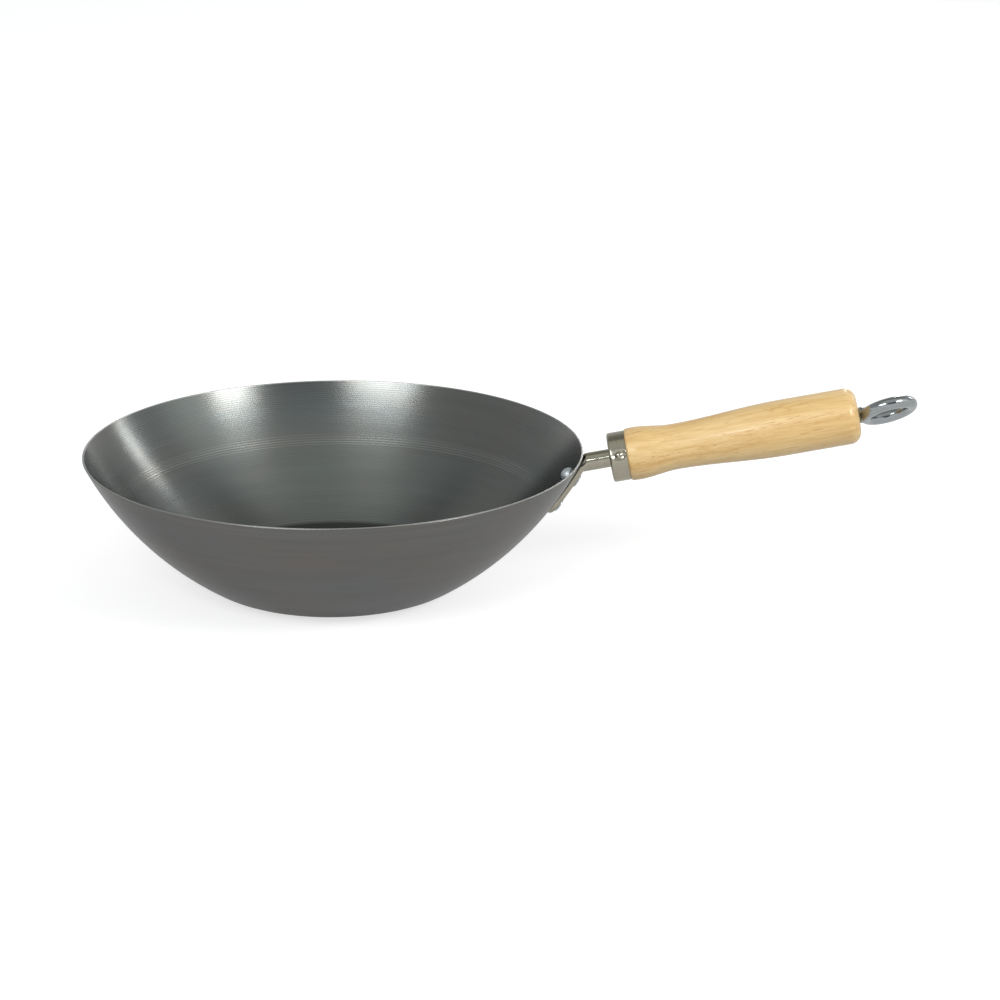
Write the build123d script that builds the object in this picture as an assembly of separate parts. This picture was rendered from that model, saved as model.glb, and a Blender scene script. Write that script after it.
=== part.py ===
from build123d import *
import os
from math import atan2, cos, degrees, hypot, pi, radians, sin, sqrt

# A flat-bottomed carbon steel wok with one long wooden handle.
# Millimetres, +Z up. The origin is the centre of the base, on the surface it stands on.
# The handle points along +X. Each piece has its own function below.

# Bowl: one sheet, spun to shape
sheet = 1.2
rim_radius = 151.0
rim_height = 83.3
base_radius = 58.7
heel_radius = 40.0
heel_turn = 31.8
rim_round_share = 0.25

# Handle: its axis rises away from the bowl, and places along it start at the ferrule's face
face_from_rim = 16.0
face_below_rim = 4.6
handle_rise = 10.4

# Bracket: a tube that leaves the ferrule round, bends down and is crushed flat along the bowl
tube_diameter = 11.0
tube_wall = 1.2
tube_insert = 34.0
tube_joint_angle = 45.0
bend_radius = 6.2
bend_sections = 5
tail_thickness = 5.6
tail_joint_angle = 8.0
tail_beyond_rivet = 7.7
pinch_above_rivet = 4.2
bracket_gap = 0.15

# Rivets: solid aluminium, domed inside the bowl and set flat outside
rivet_shank = 5.0
rivet_head = 9.0
rivet_dome = 3.3
rivet_seat = 0.1
rivet_fit = 0.05
set_head = 8.6
set_thickness = 0.8
set_edge_round = 0.5
rivet_below_bend = 8.2
rivet_pitch = 18.5

# Ferrule: a drawn cap over the front of the grip, dented where the pin is set
ferrule_diameter = 30.0
ferrule_length = 10.6
ferrule_wall = 0.8
ferrule_corner = 1.5
ferrule_fit = 0.15
dent_diameter = 8.8
dent_depth = 1.2
dent_place = 5.9

# Pin: runs across the ferrule, the grip and the tube, with a small dome at each end
pin_diameter = 2.6
pin_head = 4.4
pin_dome = 1.0
pin_elevation = 20.0
pin_fit = 0.1

# Grip: turned wood
shoulder_diameter = 31.7
shoulder_round = 1.8
bead_diameter = 32.0
bead_place = 16.3
waist_diameter = 27.6
waist_place = 39.6
swell_diameter = 33.9
swell_place = 105.8
grip_end = 151.6
grip_end_round = 7.1
bore_fit = 0.15

# Rod through the grip, and the nut that anchors it in the tube's end
rod_diameter = 5.0
rod_end_gap = 1.0
rod_bore_fit = 0.4
nut_length = 12.0
nut_fit = 0.05
thread_fit = 0.05

# Hanging ring: a cast eye on a ball-shaped neck, whose hollow stem is screwed onto the rod
ring_radius = 14.2
ring_section = 7.5
ring_lift = -0.7
ring_pitch = 6.0
ring_roll = -32.0
ring_seat = 0.2
neck_diameter = 9.8
stem_diameter = 7.0
stem_depth = 14.0
stem_thread_depth = 11.0

# One overrun serves every cut
overrun = 1.0

# Bowl geometry: the heel's arc leaves the base level, and the wall's arc runs on to the rim
heel_x = base_radius + heel_radius * sin(radians(heel_turn))
heel_z = heel_radius - heel_radius * cos(radians(heel_turn))
wall_rise_angle = degrees(atan2(rim_height - heel_z, rim_radius - heel_x))
rim_angle = 2 * wall_rise_angle - heel_turn
wall_chord = hypot(rim_radius - heel_x, rim_height - heel_z)
wall_radius = wall_chord / (2 * sin(radians(wall_rise_angle - heel_turn)))
wall_x = heel_x - wall_radius * sin(radians(heel_turn))
wall_z = heel_z + wall_radius * cos(radians(heel_turn))

# Handle geometry: a plane on the ferrule's face, looking along the handle
handle = Plane(
    origin=(rim_radius + face_from_rim, 0, rim_height - face_below_rim),
    x_dir=(0, 1, 0),
    z_dir=(cos(radians(handle_rise)), 0, sin(radians(handle_rise))),
)
pin_plane = Plane(
    origin=(0, 0, dent_place),
    x_dir=(0, 0, 1),
    z_dir=(-cos(radians(pin_elevation)), sin(radians(pin_elevation)), 0),
)

# Bracket geometry: crushing the tube keeps its girth, and the bend is one arc from the
# handle's axis to the middle of the tail, whose distances are taken from the wall's centre
tail_width = tail_thickness + pi * (tube_diameter - tail_thickness) / 2
tail_middle_radius = wall_radius + bracket_gap + tail_thickness / 2
bend_line = handle.origin - handle.y_dir * bend_radius - Vector(wall_x, 0, wall_z)
bend_ahead = bend_line.dot(handle.z_dir)
bend_beyond = bend_line.dot(bend_line) - (tail_middle_radius + bend_radius) ** 2
neck_start = sqrt(bend_ahead**2 - bend_beyond) - bend_ahead
bend_from_wall = bend_line + handle.z_dir * neck_start
bend_centre = bend_from_wall + Vector(wall_x, 0, wall_z)
tail_angle = degrees(atan2(bend_from_wall.X, -bend_from_wall.Z))

# Fold: under the bend the tube's round underside runs on until it meets the tail's outer face
bend_turn = radians(tail_angle - handle_rise)
fold_rise = bend_radius - tail_thickness / 2 - (bend_radius - tube_diameter / 2) * cos(bend_turn)
fold_reach = fold_rise / sin(bend_turn)

# Rivet geometry: places are arc lengths down the wall from the rim
upper_rivet_drop = radians(rim_angle - tail_angle) * wall_radius + rivet_below_bend
lower_rivet_drop = upper_rivet_drop + rivet_pitch
tail_drop = lower_rivet_drop + tail_beyond_rivet
hollow_drop = lower_rivet_drop - pinch_above_rivet

# Dents in the ferrule are shallow caps of a sphere
dent_sphere = (dent_diameter**2 / 4 + dent_depth**2) / (2 * dent_depth)
dent_centre = ferrule_diameter / 2 - dent_depth + dent_sphere


def on_arc(x, z, radius, angle):
    """A point of the XZ plane on a circle, at an angle from straight down."""
    return Vector(x + radius * sin(radians(angle)), 0, z - radius * cos(radians(angle)))


def arc_edge(x, z, radius, start, end):
    middle = (start + end) / 2
    return ThreePointArc(*(on_arc(x, z, radius, angle) for angle in (start, middle, end)))


def wall_angle(drop):
    """The wall's slope at an arc length below the rim."""
    return rim_angle - degrees(drop / wall_radius)


def wall_plane(drop):
    """A plane on the wall's outside that looks out of the bowl, its local Y up the slope."""
    angle = wall_angle(drop)
    outward = (sin(radians(angle)), 0, -cos(radians(angle)))
    return Plane(on_arc(wall_x, wall_z, wall_radius, angle), x_dir=(0, 1, 0), z_dir=outward)


def turned(outline):
    """A solid turned round its axis from an outline of (radius, place) edges."""
    return revolve(Plane.XZ * make_face(outline), Axis.Z)


def rod_between(plane, radius, start, end):
    """A cylinder along a plane's normal, between two heights over the plane."""
    return extrude(plane.offset(start) * Circle(radius), end - start)


def ferrule_blank(inset, end):
    """The ferrule's outside, or a shape inset from it, with both dents pressed in."""
    radius = ferrule_diameter / 2 - inset
    outline = FilletPolyline(
        (0, inset), (radius, inset), (radius, end), (0, end),
        radius=[0, ferrule_corner - inset, 0, 0],
        close=True,
    )
    blank = turned([outline])
    for side in (1, -1):
        blank -= pin_plane.offset(side * dent_centre) * Sphere(dent_sphere + inset)
    return blank


def oval(half_width, half_height, joint_angle, inset):
    """An oval of four tangent arcs, which meet where their normals lean by the joint angle."""
    lean_sin = sin(radians(joint_angle))
    lean_cos = cos(radians(joint_angle))
    ratio = (1 - lean_sin) / lean_cos
    flat_radius = (half_width - half_height * ratio) / (lean_sin - ratio * (1 - lean_cos))
    joint_x = (flat_radius - inset) * lean_sin
    joint_y = half_height - flat_radius + (flat_radius - inset) * lean_cos
    wide = half_width - inset
    high = half_height - inset
    return make_face([
        ThreePointArc((-joint_x, joint_y), (0, high), (joint_x, joint_y)),
        ThreePointArc((joint_x, joint_y), (wide, 0), (joint_x, -joint_y)),
        ThreePointArc((joint_x, -joint_y), (0, -high), (-joint_x, -joint_y)),
        ThreePointArc((-joint_x, -joint_y), (-wide, 0), (-joint_x, joint_y)),
    ])


def bowl():
    outside = [
        Line((0, 0, 0), (base_radius, 0, 0)),
        arc_edge(base_radius, heel_radius, heel_radius, 0, heel_turn),
        arc_edge(wall_x, wall_z, wall_radius, heel_turn, rim_angle),
    ]
    inside = [
        arc_edge(wall_x, wall_z, wall_radius - sheet, rim_angle, heel_turn),
        arc_edge(base_radius, heel_radius, heel_radius - sheet, heel_turn, 0),
        Line((base_radius, 0, sheet), (0, 0, sheet)),
    ]
    cut_edge = Line(outside[-1] @ 1, inside[0] @ 0)
    section = make_face([*outside, cut_edge, *inside, Line((0, 0, sheet), (0, 0, 0))])
    rim_corners = section.vertices().sort_by(Axis.Z)[-2:]
    shell = revolve(fillet(rim_corners, rim_round_share * sheet), Axis.Z)
    for drop in (upper_rivet_drop, lower_rivet_drop):
        hole = rod_between(wall_plane(drop), rivet_shank / 2 + rivet_fit, -sheet - overrun, overrun)
        shell -= hole
    return shell


def tube_sections(inset):
    """Ovals that turn round the bend, from the flat tail's top to the round neck."""
    sections = []
    for step in range(bend_sections):
        share = step / (bend_sections - 1)
        swell = share**2
        lean = radians(tail_angle + (handle_rise - tail_angle) * share)
        place = bend_centre + Vector(-sin(lean), 0, cos(lean)) * bend_radius
        plane = Plane(place, x_dir=(0, 1, 0), z_dir=(cos(lean), 0, sin(lean)))
        half_width = (tail_width + (tube_diameter - tail_width) * swell) / 2
        half_height = (tail_thickness + (tube_diameter - tail_thickness) * swell) / 2
        joint_angle = tail_joint_angle + (tube_joint_angle - tail_joint_angle) * swell
        sections.append(plane * oval(half_width, half_height, joint_angle, inset))
    return sections


def tube_length(inset, tip_drop, neck_end):
    """The tube's outside or its hollow, from a place on the tail to a place in the grip."""
    sections = tube_sections(inset)
    wall_centre = Axis((wall_x, 0, wall_z), (0, 1, 0))
    tail = revolve(sections[0], wall_centre, tail_angle - wall_angle(tip_drop))
    neck = rod_between(handle, tube_diameter / 2 - inset, neck_start, neck_end)
    return tail + loft(sections) + neck


def tail_cap(drop):
    """The tail's round end: half of its flat section, swung round through half a turn."""
    half_section = oval(tail_width / 2, tail_thickness / 2, tail_joint_angle, 0)
    half_section &= Pos(tail_width / 2, 0) * Rectangle(tail_width, tail_width)
    lean = radians(wall_angle(drop))
    middle = wall_plane(drop).offset(bracket_gap + tail_thickness / 2).origin
    plane = Plane(middle, x_dir=(0, 1, 0), z_dir=(cos(lean), 0, sin(lean)))
    return revolve(plane * half_section, Axis(middle, plane.y_dir), 180)


def fold():
    """The lower half of the round tube, run on from the bend to the tail."""
    length = rod_between(handle, tube_diameter / 2, neck_start - fold_reach, neck_start)
    return split(length, Plane(handle.origin, x_dir=handle.x_dir, z_dir=handle.y_dir), keep=Keep.BOTTOM)


def handle_bracket():
    cap_drop = tail_drop - tail_width / 2
    tube = tube_length(0, cap_drop, tube_insert) + tail_cap(cap_drop) + fold()
    tube -= tube_length(tube_wall, hollow_drop, tube_insert + overrun)
    for drop in (upper_rivet_drop, lower_rivet_drop):
        tube -= rod_between(wall_plane(drop), rivet_shank / 2 + rivet_fit, 0, tube_diameter)
    pin_hole = rod_between(pin_plane, pin_diameter / 2 + pin_fit, -tube_diameter, tube_diameter)
    return tube - handle * pin_hole


def rivet(drop):
    tail_face = bracket_gap + tail_thickness
    inner_face = -sheet - rivet_seat
    set_top = tail_face + set_thickness
    outline = FilletPolyline(
        (0, set_top), (set_head / 2, set_top), (set_head / 2, tail_face), (rivet_shank / 2, tail_face),
        (rivet_shank / 2, inner_face), (rivet_head / 2, inner_face),
        radius=[set_edge_round, 0, 0, 0],
    )
    dome_sphere = (rivet_head**2 / 4 + rivet_dome**2) / (2 * rivet_dome)
    dome = RadiusArc((rivet_head / 2, inner_face), (0, inner_face - rivet_dome), dome_sphere)
    axis_edge = Line((0, inner_face - rivet_dome), (0, set_top))
    return wall_plane(drop) * turned([outline, dome, axis_edge])


def rivet_upper():
    return rivet(upper_rivet_drop)


def rivet_lower():
    return rivet(lower_rivet_drop)


def ferrule():
    hollow = ferrule_blank(ferrule_wall, ferrule_length + overrun)
    tube_hole = rod_between(Plane.XY, tube_diameter / 2 + ferrule_fit, -overrun, ferrule_length)
    pin_hole = rod_between(
        pin_plane, pin_diameter / 2 + pin_fit, -ferrule_diameter / 2, ferrule_diameter / 2
    )
    return handle * (ferrule_blank(0, ferrule_length) - hollow - tube_hole - pin_hole)


def cross_pin():
    head_sag = dent_sphere - sqrt(dent_sphere**2 - pin_head**2 / 4)
    head_base = ferrule_diameter / 2 - dent_depth + head_sag
    dome_sphere = (pin_head**2 / 4 + pin_dome**2) / (2 * pin_dome)
    shank = [(0, 0), (pin_diameter / 2, 0), (pin_diameter / 2, head_base), (pin_head / 2, head_base)]
    dome = RadiusArc(shank[-1], (0, head_base + pin_dome), -dome_sphere)
    half = turned([Polyline(*shank), dome, Line((0, head_base + pin_dome), (0, 0))])
    return handle * (pin_plane * (half + mirror(half, Plane.XY)))


def ease(start, end):
    """A curve between two (radius, place) points that is level with the axis at both."""
    third = (end[1] - start[1]) / 3
    return Bezier(start, (start[0], start[1] + third), (end[0], end[1] - third), end)


def turned_grip():
    """The grip's outside behind the ferrule: a bead, a waist and a long swell."""
    shoulder_foot = (shoulder_diameter / 2 - shoulder_round, ferrule_length)
    shoulder = (shoulder_diameter / 2, ferrule_length + shoulder_round)
    bead = (bead_diameter / 2, bead_place)
    waist = (waist_diameter / 2, waist_place)
    swell = (swell_diameter / 2, swell_place)
    swell_end = (swell_diameter / 2, grip_end - grip_end_round)
    end_edge = (swell_diameter / 2 - grip_end_round, grip_end)
    return turned([
        Line((0, ferrule_length), shoulder_foot),
        RadiusArc(shoulder_foot, shoulder, -shoulder_round),
        ease(shoulder, bead),
        ease(bead, waist),
        ease(waist, swell),
        Line(swell, swell_end),
        RadiusArc(swell_end, end_edge, -grip_end_round),
        Polyline(end_edge, (0, grip_end), (0, ferrule_length)),
    ])


def wooden_grip():
    grip = turned_grip() + ferrule_blank(ferrule_wall + ferrule_fit, ferrule_length)
    stem_bore_end = grip_end - stem_depth - bore_fit
    grip -= rod_between(Plane.XY, tube_diameter / 2 + bore_fit, 0, tube_insert)
    grip -= rod_between(Plane.XY, rod_diameter / 2 + rod_bore_fit, 0, grip_end)
    grip -= rod_between(Plane.XY, stem_diameter / 2 + bore_fit, stem_bore_end, grip_end + overrun)
    grip -= rod_between(
        pin_plane, pin_diameter / 2 + pin_fit, -ferrule_diameter / 2, ferrule_diameter / 2
    )
    return handle * grip


def neck_nut():
    outer = tube_diameter / 2 - tube_wall - nut_fit
    nut = rod_between(handle, outer, tube_insert - nut_length, tube_insert)
    return nut - rod_between(handle, rod_diameter / 2 + thread_fit, 0, tube_insert + overrun)


def tie_rod():
    rod_end = grip_end - stem_depth + stem_thread_depth - rod_end_gap
    return rod_between(handle, rod_diameter / 2, tube_insert - nut_length, rod_end)


def hanging_ring():
    stem_start = grip_end - stem_depth
    eye_start = grip_end + ring_seat
    tilt = Rot(-ring_pitch, 0, ring_roll) * Rot(90, 0, 0)
    eye = Pos(0, ring_lift, eye_start + ring_section / 2 + ring_radius) * tilt
    eye *= Torus(ring_radius, ring_section / 2)
    neck_middle = eye_start + ring_section / 4
    neck = Pos(0, ring_lift, neck_middle) * Sphere(neck_diameter / 2)
    neck = split(neck, Plane.XY.offset(eye_start))
    stem = rod_between(Plane.XY, stem_diameter / 2, stem_start, neck_middle)
    thread = rod_between(
        Plane.XY, rod_diameter / 2 + thread_fit, stem_start - overrun, stem_start + stem_thread_depth
    )
    return handle * (eye + neck + stem - thread)


pieces = [
    bowl, handle_bracket, rivet_upper, rivet_lower, ferrule, cross_pin, wooden_grip, neck_nut,
    tie_rod, hanging_ring,
]

os.makedirs("parts", exist_ok=True)
for piece in pieces:
    export_step(piece(), f"parts/{piece.__name__}.step")
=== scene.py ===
from math import cos, pi, radians, sin

import bpy
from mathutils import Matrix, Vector


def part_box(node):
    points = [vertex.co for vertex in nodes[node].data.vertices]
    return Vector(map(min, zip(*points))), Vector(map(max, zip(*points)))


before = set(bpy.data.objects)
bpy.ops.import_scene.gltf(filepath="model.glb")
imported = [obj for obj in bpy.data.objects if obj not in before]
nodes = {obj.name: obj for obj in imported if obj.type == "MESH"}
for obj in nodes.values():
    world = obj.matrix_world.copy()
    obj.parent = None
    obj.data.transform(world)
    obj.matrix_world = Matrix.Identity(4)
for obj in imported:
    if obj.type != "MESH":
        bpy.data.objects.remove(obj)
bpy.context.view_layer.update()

# Metres, in the frame of the model: the base stands on z = 0 and the handle points along +X
mm = 0.001

# Camera: where it looks from, and how far the middle of its view lies from the base's centre
camera_fall = radians(18.0389)
camera_distance = 2.28834
view_right = 0.100568
view_up = 0.049351
focal_length = 134.963
sensor_width = 36.0

# Handle: how far its axis rises from level
handle_rise = radians(10.4)

# Noise: the ranges that its values are read over, and its usual detail
noise_wide = (0.25, 0.75)
noise_middle = (0.3, 0.7)
noise_narrow = (0.35, 0.65)
noise_detail = 3.0
noise_roughness = 0.6

# Bowl, inside: the band of spinning ridges by height over the base, lightened in colour as a painted
# highlight, and the bottom darkened as a painted dark reflection
ridge_low = 47.5 * mm
ridge_high = 56.0 * mm
ridge_pitch = 1.3 * mm
ridge_depth = 0.012 * mm
ridge_ends = 3 * ridge_pitch
# Painted highlight: how much lighter the ridges are coloured
ridge_painted_highlight = 1.5
ridge_highlight_range = (0.1, 0.9)
ridge_uneven_range = (0.35, 0.6)
ridge_least_share = 0.4
# Painted dark reflection: the bottom inside this radius is darkened in colour
dark_reflection_radius = 85.5 * mm
dark_reflection_edge = 3.0 * mm
painted_reflection_level = 0.33

# Bowl, inside: the ridges' painted highlight fades towards the front, from one place along Y to another
highlight_front = 20.0 * mm
highlight_back = 70.0 * mm
highlight_front_share = 0.3

# Bowl, inside: fine lines that the turning left above the ridges
turning_pitch = 1.2 * mm
turning_shades = (0.05, 0.22)
turning_low_share = 0.4

# Bowl: the cut rim, and how sharply the inside turns to the outside there
rim_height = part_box("bowl")[1].z
rim_edge = 0.5 * mm
rim_colour = (0.48, 0.48, 0.47)
rim_dullness = 0.2
side_edge = 4.0 * mm

# Bowl's steel: its colours by noise, and its roughness
inner_colours = [(0.25, (0.185, 0.195, 0.189)), (0.75, (0.205, 0.213, 0.205))]
outer_colours = [(0.25, (0.136, 0.134, 0.13)), (0.75, (0.19, 0.186, 0.18))]
stain_shades = [(0.35, (1.05, 0.98, 0.95)), (0.65, (0.95, 1.0, 1.03))]
stain_share = 0.7
stain_marks = (14.0, 14.0, 40.0)
broad_shades = (0.96, 1.04)
steel_roughness = (0.24, 0.275)
steel_anisotropy = 0.7
steel_edge_tint = 0.8
across_marks_turn = 0.25

# Bowl's steel: scales of its marks, on two axes round the bowl and on one along its wall
fine_marks = (1.2, 1.2, 3400.0)
fine_marks_roughness = 0.65
broad_marks = (1.6, 1.6, 120.0)
ridge_marks = (1.5, 1.5, 300.0)
turning_marks = (2.0, 2.0, 220.0)

# Plating: colours, roughness, how far its clouds darken it, and a faint ripple
bracket_colour = (0.42, 0.39, 0.315)
bracket_roughness = 0.08
bracket_wear = 0.15
ring_colour = (0.38, 0.4, 0.41)
ring_roughness = 0.07
ring_wear = 0.1
cloud_scale = 260.0
cloud_detail = 4.0
cloud_range = (0.3, 0.65)
cloud_dull_shares = (1.5, 0.8)
ripple_scale = 90.0
ripple_depth = 0.08 * mm

# Ferrule: draw marks that run round it
ferrule_colours = [(0.25, (0.35, 0.325, 0.26)), (0.75, (0.46, 0.43, 0.345))]
ferrule_roughness = (0.12, 0.19)
draw_marks = (3200.0, 60.0, 60.0)
draw_depth = 0.004 * mm

# Plain metals: their dark and light colours, roughness and specks
aluminium_colours = ((0.5, 0.55, 0.58), (0.66, 0.71, 0.73))
aluminium_roughness = 0.5
rod_colours = ((0.3, 0.3, 0.3), (0.42, 0.42, 0.41))
rod_roughness = 0.3
speck_scale = 900.0
speck_dull_shares = (1.2, 0.85)
speck_depth = 0.02 * mm

# Wood: colours, and scales of its marks, on one axis along the grip and on two across it
wood_colours = [
    (0.28, (0.66, 0.42, 0.16)), (0.42, (0.73, 0.5, 0.215)), (0.55, (0.77, 0.54, 0.25)),
    (0.72, (0.81, 0.595, 0.3)),
]
fibre_shades = [(0.32, (0.87, 0.79, 0.68)), (0.58, (1.0, 1.0, 1.0))]
fibre_share = 0.85
pore_colour = (0.48, 0.22, 0.055)
pore_share = 0.7
pore_sharpness = 10.0
pore_edges = (0.72, 0.55)
fibre_height_share = 0.3
grain_bump_share = 0.5
sway_marks = (14.0, 30.0, 30.0)
band_marks = (9.0, 150.0, 210.0)
band_marks_roughness = 0.55
fibre_marks = (50.0, 1100.0, 1100.0)
pore_marks = (130.0, 1700.0, 1700.0)
pore_detail = 1.0
crowd_marks = (20.0, 110.0, 110.0)
grain_sway = 4.0 * mm
grain_depth = 0.03 * mm
wood_roughness = 0.42
lacquer_share = 0.35
lacquer_roughness = 0.16

# Floor: its grey, and how far it is lifted to white for the camera and for mirrored rays
floor_size = 60.0
floor_albedo = 0.5
floor_lift = 0.68
floor_gleam = 0.31

# World: its colours by height, with 0 level and 1 straight up, and the colours of its sectors
sky_colours = [
    (0.12, (1.0, 1.0, 1.0)), (0.3, (0.54, 0.56, 0.56)), (0.7, (0.52, 0.54, 0.54)),
    (0.95, (0.64, 0.66, 0.62)), (1.0, (0.56, 0.57, 0.53)),
]
right_colour = (1.12, 1.18, 1.16)
front_colour = (0.5, 0.58, 0.63)
front_share = 0.6
left_colour = (0.24, 0.25, 0.25)
left_share = 0.4
back_colour = (0.13, 0.13, 0.13)
back_share = 0.7
gap_colour = (0.06, 0.075, 0.09)

# World: where each sector starts and where it is full, as parts of a direction's unit length
high_range = (0.14, 0.34)
right_range_x = (0.4, 0.7)
right_range_y = (0.2, -0.1)
right_range_z = (0.85, 0.6)
front_range = (-0.4, -0.75)
left_range = (-0.25, -0.8)
back_range_y = (0.0, 0.25)
back_range_z = (0.6, 0.8)
gap_left_range = (-0.12, 0.02)
gap_right_range = (0.62, 0.5)
gap_low_range = (0.16, 0.22)
gap_top_range = (0.58, 0.52)
behind_range = (0.1, 0.4)
behind_lift = 0.09

# Lamps: the point each one faces, its bearing and height in degrees, its size and its level
lamp_distance = 1.9
lamps = {
    "key_right": ((-0.069, 0.131, 0.08), 54.0, 28.0, 0.7, 0.42, 15.2),
    "key_left": ((0.024, 0.146, 0.079), -22.5, 32.0, 1.1, 0.5, 10.0),
    "side_right": ((-0.125, 0.065, 0.07), 124.0, 19.0, 0.18, 0.55, 6.5),
    "strip_back": ((-0.14, 0.0, 0.07), 158.0, 22.0, 0.05, 1.4, 18.0),
}


class Graph:
    """Adds nodes to a material or world tree; a socket as a value becomes a link."""

    def __init__(self, tree):
        self.tree = tree
        tree.nodes.clear()

    def add(self, kind, inputs=None, **settings):
        made = self.tree.nodes.new(kind)
        for name, value in settings.items():
            setattr(made, name, value)
        for name, value in (inputs or {}).items():
            if isinstance(value, bpy.types.NodeSocket):
                self.tree.links.new(value, made.inputs[name])
            else:
                made.inputs[name].default_value = value
        return made

    def math(self, operation, first, second=0.0, clamp=False):
        values = {0: first, 1: second}
        return self.add("ShaderNodeMath", values, operation=operation, use_clamp=clamp).outputs[0]

    def times(self, product, *others):
        for other in others:
            product = self.math("MULTIPLY", product, other)
        return product

    def ramp(self, value, stops):
        """A smooth colour ramp from (place, colour) pairs."""
        made = self.add("ShaderNodeValToRGB", {"Fac": value})
        line = made.color_ramp
        while len(line.elements) < len(stops):
            line.elements.new(0.5)
        for element, (place, colour) in zip(line.elements, stops):
            element.position = place
            element.color = (*colour, 1.0)
        return made.outputs["Color"]

    def span(self, value, low, high, out_low=0.0, out_high=1.0, smooth=False):
        """A value mapped from one range to another, and held at its ends."""
        inputs = {
            "Value": value, "From Min": low, "From Max": high, "To Min": out_low, "To Max": out_high,
        }
        kind = "SMOOTHSTEP" if smooth else "LINEAR"
        return self.add("ShaderNodeMapRange", inputs, interpolation_type=kind).outputs["Result"]

    def mix(self, share, first, second, blend="MIX"):
        made = self.add("ShaderNodeMix", data_type="RGBA", blend_type=blend)
        for name, value in (("Factor_Float", share), ("A_Color", first), ("B_Color", second)):
            socket = next(item for item in made.inputs if item.identifier == name)
            if isinstance(value, bpy.types.NodeSocket):
                self.tree.links.new(value, socket)
            elif name == "Factor_Float":
                socket.default_value = value
            else:
                socket.default_value = (*value, 1.0)
        return next(item for item in made.outputs if item.identifier == "Result_Color")

    def dim(self, colour, level):
        """A colour times a plain value."""
        grey = self.add("ShaderNodeCombineXYZ", {"X": level, "Y": level, "Z": level})
        return self.mix(1.0, colour, grey.outputs["Vector"], "MULTIPLY")

    def noise(self, vector, scale=1.0, detail=2.0, roughness=0.5):
        inputs = {"Vector": vector, "Scale": scale, "Detail": detail, "Roughness": roughness}
        return self.add("ShaderNodeTexNoise", inputs).outputs["Fac"]

    def stretch(self, vector, scale, turn=(0.0, 0.0, 0.0)):
        inputs = {"Vector": vector, "Scale": scale, "Rotation": turn}
        return self.add("ShaderNodeMapping", inputs).outputs["Vector"]

    def bump(self, height, distance, strength=1.0):
        inputs = {"Height": height, "Distance": distance, "Strength": strength}
        return self.add("ShaderNodeBump", inputs).outputs["Normal"]

    def position(self):
        return self.add("ShaderNodeTexCoord").outputs["Object"]

    def along_handle(self):
        """Positions with their first axis along the handle."""
        return self.stretch(self.position(), (1.0, 1.0, 1.0), (0.0, handle_rise, 0.0))

    def surface(self, **inputs):
        """The one shader of a material, with its inputs by name."""
        values = {name.replace("_", " "): value for name, value in inputs.items()}
        shader = self.add("ShaderNodeBsdfPrincipled", values)
        self.add("ShaderNodeOutputMaterial", {"Surface": shader.outputs["BSDF"]})


def new_material(name):
    material = bpy.data.materials.new(name)
    material.use_nodes = True
    return material, Graph(material.node_tree)


def turned_places(graph):
    """On a turned bowl: a vector for marks that run round it, its radius, its Y and its height."""
    split = graph.add("ShaderNodeSeparateXYZ", {"Vector": graph.position()})
    x, y, z = (split.outputs[axis] for axis in "XYZ")
    radius = graph.math("SQRT", graph.math("ADD", graph.times(x, x), graph.times(y, y)))
    inputs = {
        "X": graph.math("DIVIDE", x, radius), "Y": graph.math("DIVIDE", y, radius),
        "Z": graph.math("ADD", radius, z),
    }
    around = graph.add("ShaderNodeCombineXYZ", inputs).outputs["Vector"]
    return around, radius, y, z


def inside_bowl(graph):
    """One on faces that look in towards the bowl's axis or up, and zero on the outside."""
    normal = graph.add("ShaderNodeNewGeometry").outputs["Normal"]
    inputs = {0: normal, 1: graph.position()}
    outward = graph.add("ShaderNodeVectorMath", inputs, operation="DOT_PRODUCT").outputs["Value"]
    return graph.span(outward, side_edge, -side_edge)


def waves(graph, z, pitch):
    return graph.math("SINE", graph.times(z, 2 * pi / pitch))


def ridge_band(graph, around, z):
    """The spinning ridges, between their lowest and highest places and uneven round the bowl."""
    band = graph.times(
        graph.span(z, ridge_low, ridge_low + ridge_pitch, smooth=True),
        graph.span(z, ridge_high, ridge_high - ridge_ends, smooth=True),
    )
    uneven = graph.noise(graph.stretch(around, ridge_marks))
    uneven = graph.span(uneven, *ridge_uneven_range, ridge_least_share)
    return graph.times(waves(graph, z, ridge_pitch), band, uneven)


def turning_lines(graph, around, z):
    """Fine lines between the ridges and the rim, stronger towards the rim."""
    faint = graph.noise(graph.stretch(around, turning_marks))
    faint = graph.span(faint, *noise_middle, *turning_shades)
    upper = graph.span(z, ridge_high, rim_height, turning_low_share, 1.0)
    return graph.times(waves(graph, z, turning_pitch), faint, upper)


def plain_steel(graph, around, fine, inside):
    """The steel's own colour on both sides, with stains and broad marks."""
    stain = graph.stretch(graph.position(), stain_marks)
    stain = graph.noise(stain, detail=noise_detail, roughness=noise_roughness)
    broad = graph.noise(graph.stretch(around, broad_marks), detail=noise_detail)
    colour = graph.mix(inside, graph.ramp(fine, outer_colours), graph.ramp(fine, inner_colours))
    colour = graph.mix(stain_share, colour, graph.ramp(stain, stain_shades), "MULTIPLY")
    return graph.dim(colour, graph.span(broad, *noise_middle, *broad_shades))


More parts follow.
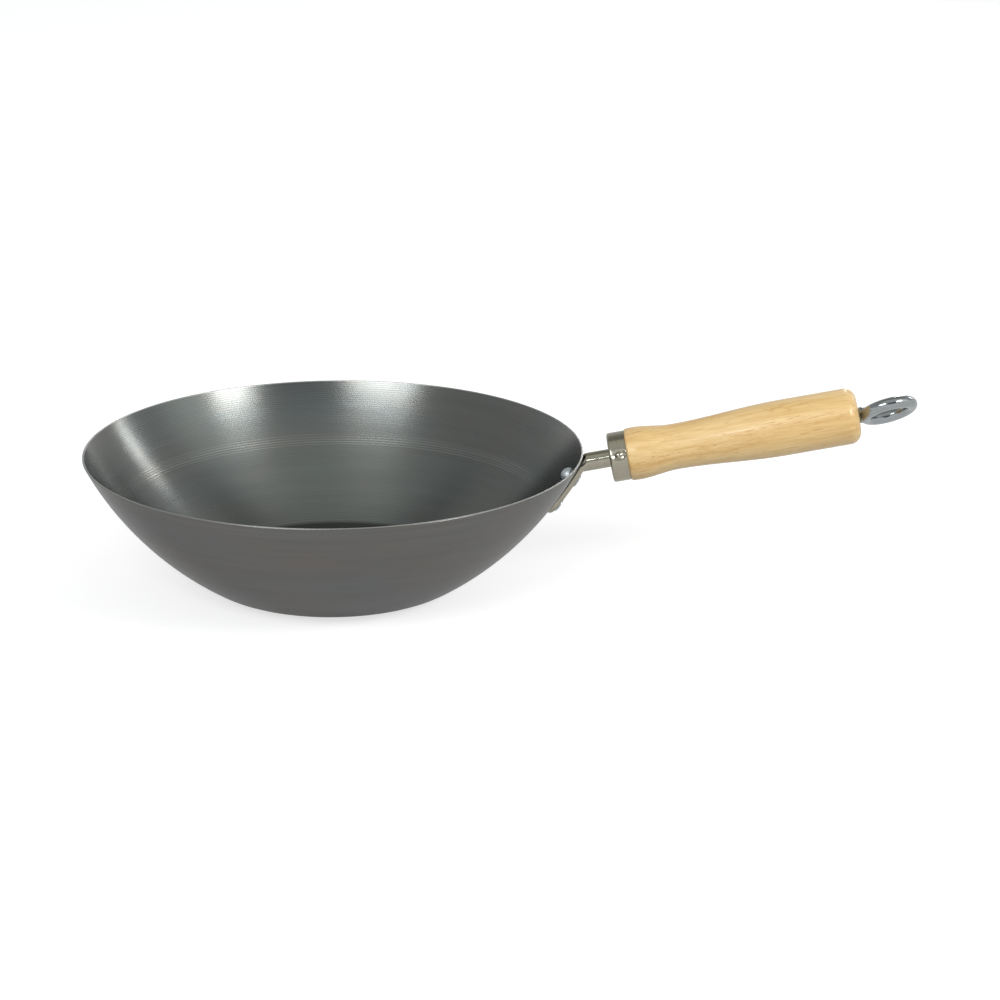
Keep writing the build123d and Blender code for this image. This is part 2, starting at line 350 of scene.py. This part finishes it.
def bowl_steel():
    """Bare carbon steel, spun inside and brushed round the outside, and bright at the cut rim."""
    material, graph = new_material("bowl_spun_steel")
    around, radius, y, z = turned_places(graph)
    inside = inside_bowl(graph)
    fine = graph.stretch(around, fine_marks)
    fine = graph.noise(fine, detail=noise_detail, roughness=fine_marks_roughness)
    colour = plain_steel(graph, around, fine, inside)
    # Painted dark reflection: the inside of the flat bottom is darkened in colour
    dark_reflection_mask = graph.span(radius, dark_reflection_radius, dark_reflection_radius - dark_reflection_edge, smooth=True)
    colour = graph.dim(colour, graph.span(graph.times(dark_reflection_mask, inside), 0.0, 1.0, 1.0, painted_reflection_level))
    rim = graph.span(z, rim_height - rim_edge, rim_height - rim_edge / 2)
    colour = graph.mix(rim, colour, rim_colour)
    ridges = graph.times(ridge_band(graph, around, z), inside)
    # Painted highlight: the ridges are lightened in colour, less towards the front
    ridge_highlight_mask = graph.times(ridges, graph.span(y, highlight_front, highlight_back, highlight_front_share, 1.0))
    colour = graph.dim(colour, graph.span(ridge_highlight_mask, *ridge_highlight_range, 1.0, ridge_painted_highlight))
    lines = graph.times(turning_lines(graph, around, z), inside)
    colour = graph.dim(colour, graph.math("ADD", lines, 1.0))
    dull = graph.span(fine, *noise_wide, *steel_roughness)
    graph.surface(
        Base_Color=colour, Metallic=1.0,
        Roughness=graph.math("ADD", dull, graph.times(rim, rim_dullness)),
        Anisotropic=steel_anisotropy, Anisotropic_Rotation=across_marks_turn,
        Specular_Tint=(steel_edge_tint, steel_edge_tint, steel_edge_tint, 1.0),
        Normal=graph.bump(ridges, ridge_depth),
        Tangent=graph.add("ShaderNodeTangent", direction_type="RADIAL", axis="Z").outputs["Tangent"],
    )
    return material


def plated(name, colour, roughness, wear):
    """Bright plating over steel, with faint clouding."""
    material, graph = new_material(name)
    cloud = graph.noise(graph.position(), cloud_scale, cloud_detail, noise_roughness)
    darker = tuple(part * (1.0 - wear) for part in colour)
    shade = graph.ramp(cloud, list(zip(cloud_range, (darker, colour))))
    dull = graph.span(cloud, *noise_middle, *(roughness * share for share in cloud_dull_shares))
    ripple = graph.noise(graph.position(), ripple_scale)
    graph.surface(
        Base_Color=shade, Metallic=1.0, Roughness=dull, Normal=graph.bump(ripple, ripple_depth),
    )
    return material


def drawn_plating():
    """The ferrule's plating, with fine draw marks that run round it."""
    material, graph = new_material("ferrule_nickel")
    lines = graph.stretch(graph.along_handle(), draw_marks)
    lines = graph.noise(lines, detail=noise_detail, roughness=noise_roughness)
    graph.surface(
        Base_Color=graph.ramp(lines, ferrule_colours), Metallic=1.0,
        Roughness=graph.span(lines, *noise_middle, *ferrule_roughness),
        Normal=graph.bump(lines, draw_depth),
    )
    return material


def swaying_grain(graph):
    """Positions along the handle whose grain sways a little from side to side."""
    grain = graph.along_handle()
    bend = graph.noise(graph.stretch(grain, sway_marks))
    shift = {0: (0.0, 0.0, grain_sway), "Scale": bend}
    sway = graph.add("ShaderNodeVectorMath", shift, operation="SCALE").outputs["Vector"]
    return graph.add("ShaderNodeVectorMath", {0: grain, 1: sway}).outputs["Vector"]


def wood_pores(graph, grain):
    """One in the short brown pores, which crowd together in places, and zero between them."""
    pores = graph.noise(graph.stretch(grain, pore_marks), detail=pore_detail)
    crowd = graph.noise(graph.stretch(grain, crowd_marks))
    edge = graph.span(crowd, *noise_narrow, *pore_edges)
    return graph.math("MULTIPLY", graph.math("SUBTRACT", pores, edge), pore_sharpness, clamp=True)


def lacquered_wood():
    """Pale hardwood turned to shape: soft bands, short brown pores and a thin clear lacquer."""
    material, graph = new_material("grip_hardwood")
    grain = swaying_grain(graph)
    bands = graph.stretch(grain, band_marks)
    bands = graph.noise(bands, detail=noise_detail, roughness=band_marks_roughness)
    fibres = graph.stretch(grain, fibre_marks)
    fibres = graph.noise(fibres, detail=noise_detail, roughness=noise_roughness)
    pore = wood_pores(graph, grain)
    colour = graph.ramp(bands, wood_colours)
    colour = graph.mix(fibre_share, colour, graph.ramp(fibres, fibre_shades), "MULTIPLY")
    colour = graph.mix(graph.times(pore, pore_share), colour, pore_colour)
    height = graph.math("SUBTRACT", graph.times(fibres, fibre_height_share), pore)
    graph.surface(
        Base_Color=colour, Roughness=wood_roughness, Coat_Weight=lacquer_share,
        Coat_Roughness=lacquer_roughness, Normal=graph.bump(height, grain_depth, grain_bump_share),
    )
    return material


def satin_metal(name, colours, roughness):
    """A plain metal with fine specks between its dark and its light colour."""
    material, graph = new_material(name)
    specks = graph.noise(graph.position(), speck_scale, noise_detail, noise_roughness)
    shade = graph.ramp(specks, list(zip(noise_middle, colours)))
    dull = graph.span(specks, *noise_middle, *(roughness * share for share in speck_dull_shares))
    graph.surface(
        Base_Color=shade, Metallic=1.0, Roughness=dull, Normal=graph.bump(specks, speck_depth),
    )
    return material


def dress(node_names, material):
    for name in node_names:
        for slot in nodes[name].material_slots:
            slot.material = material


def dress_object():
    nickel = plated("bracket_nickel", bracket_colour, bracket_roughness, bracket_wear)
    chrome = plated("ring_chrome", ring_colour, ring_roughness, ring_wear)
    aluminium = satin_metal("rivet_satin_aluminium", aluminium_colours, aluminium_roughness)
    drawn_steel = satin_metal("rod_drawn_steel", rod_colours, rod_roughness)
    dress(["bowl"], bowl_steel())
    dress(["handle_bracket", "cross_pin"], nickel)
    dress(["ferrule"], drawn_plating())
    dress(["hanging_ring"], chrome)
    dress(["rivet_upper", "rivet_lower"], aluminium)
    dress(["wooden_grip"], lacquered_wood())
    dress(["neck_nut", "tie_rod"], drawn_steel)


def floor():
    """A pale floor, which camera and mirror rays see as white with the object's shadow on it."""
    mesh = bpy.data.meshes.new("studio_floor")
    half = floor_size / 2
    corners = [(-half, -half, 0.0), (half, -half, 0.0), (half, half, 0.0), (-half, half, 0.0)]
    mesh.from_pydata(corners, [], [(0, 1, 2, 3)])
    plane = bpy.data.objects.new("studio_floor", mesh)
    bpy.context.scene.collection.objects.link(plane)
    material, graph = new_material("pale_floor")
    rays = graph.add("ShaderNodeLightPath")
    mirrored = graph.math("MAXIMUM", rays.outputs["Is Glossy Ray"], rays.outputs["Is Transmission Ray"])
    seen = graph.times(rays.outputs["Is Camera Ray"], floor_lift)
    level = graph.math("ADD", seen, graph.times(mirrored, floor_gleam))
    matt = graph.add("ShaderNodeBsdfDiffuse", {"Color": (floor_albedo, floor_albedo, floor_albedo, 1.0)})
    glow = graph.add("ShaderNodeEmission", {"Strength": level})
    both = graph.add("ShaderNodeAddShader", {0: matt.outputs["BSDF"], 1: glow.outputs["Emission"]})
    graph.add("ShaderNodeOutputMaterial", {"Surface": both.outputs["Shader"]})
    mesh.materials.append(material)


def sky_sectors(graph, x, y, z):
    """Each sector of the world: how much of it shows in a direction, and its colour."""
    high = graph.span(z, *high_range)
    right = graph.times(graph.span(x, *right_range_x, smooth=True), graph.span(y, *right_range_y), high)
    front = graph.times(graph.span(y, *front_range, smooth=True), high)
    left = graph.times(graph.span(x, *left_range, smooth=True), high)
    back = graph.times(graph.span(y, *back_range_y, smooth=True), graph.span(z, *back_range_z))
    gap_across = graph.times(graph.span(x, *gap_left_range), graph.span(x, *gap_right_range))
    gap_up = graph.times(graph.span(z, *gap_low_range), graph.span(z, *gap_top_range))
    return [
        (graph.times(right, graph.span(z, *right_range_z)), right_colour),
        (graph.times(front, front_share), front_colour),
        (graph.times(left, left_share), left_colour),
        (graph.times(back, back_share), back_colour),
        (graph.times(gap_across, graph.math("LESS_THAN", y, 0.0), gap_up), gap_colour),
    ]


def studio_world():
    """White round the horizon, and dimmer above: darkest between the lamps and high at the back."""
    world = bpy.data.worlds.new("studio")
    bpy.context.scene.world = world
    world.use_nodes = True
    graph = Graph(world.node_tree)
    direction = graph.add("ShaderNodeTexCoord").outputs["Generated"]
    split = graph.add("ShaderNodeSeparateXYZ", {"Vector": direction})
    x, y, z = (split.outputs[axis] for axis in "XYZ")
    height = graph.math("ADD", z, graph.span(y, *behind_range, 0.0, behind_lift))
    colour = graph.ramp(height, sky_colours)
    for share, sector_colour in sky_sectors(graph, x, y, z):
        colour = graph.mix(share, colour, sector_colour)
    sky = graph.add("ShaderNodeBackground", {"Color": colour})
    graph.add("ShaderNodeOutputWorld", {"Surface": sky.outputs["Background"]})


def softbox(name, target, azimuth, elevation, width, height, level):
    """An even oval lamp that faces a point, by its bearing from the camera's side and its height."""
    lamp = bpy.data.lights.new(name, "AREA")
    lamp.shape = "ELLIPSE"
    lamp.size = width
    lamp.size_y = height
    lamp.energy = level * pi * pi * width * height / 4
    holder = bpy.data.objects.new(name, lamp)
    turn = radians(azimuth)
    lift = radians(elevation)
    heading = Vector((sin(turn) * cos(lift), -cos(turn) * cos(lift), sin(lift)))
    holder.location = Vector(target) + heading * lamp_distance
    holder.rotation_euler = heading.to_track_quat("Z", "Y").to_euler()
    holder.visible_camera = False
    bpy.context.scene.collection.objects.link(holder)


def camera():
    data = bpy.data.cameras.new("camera")
    data.lens = focal_length
    data.sensor_width = sensor_width
    data.clip_end = floor_size
    holder = bpy.data.objects.new("camera", data)
    right = Vector((1.0, 0.0, 0.0))
    up = Vector((0.0, sin(camera_fall), cos(camera_fall)))
    ahead = Vector((0.0, cos(camera_fall), -sin(camera_fall)))
    holder.location = right * view_right + up * view_up - ahead * camera_distance
    holder.rotation_euler = (pi / 2 - camera_fall, 0.0, 0.0)
    bpy.context.scene.collection.objects.link(holder)
    bpy.context.scene.camera = holder


dress_object()
floor()
studio_world()
for lamp_name, lamp_settings in lamps.items():
    softbox(lamp_name, *lamp_settings)
camera()
bpy.context.scene.view_settings.view_transform = "Standard"
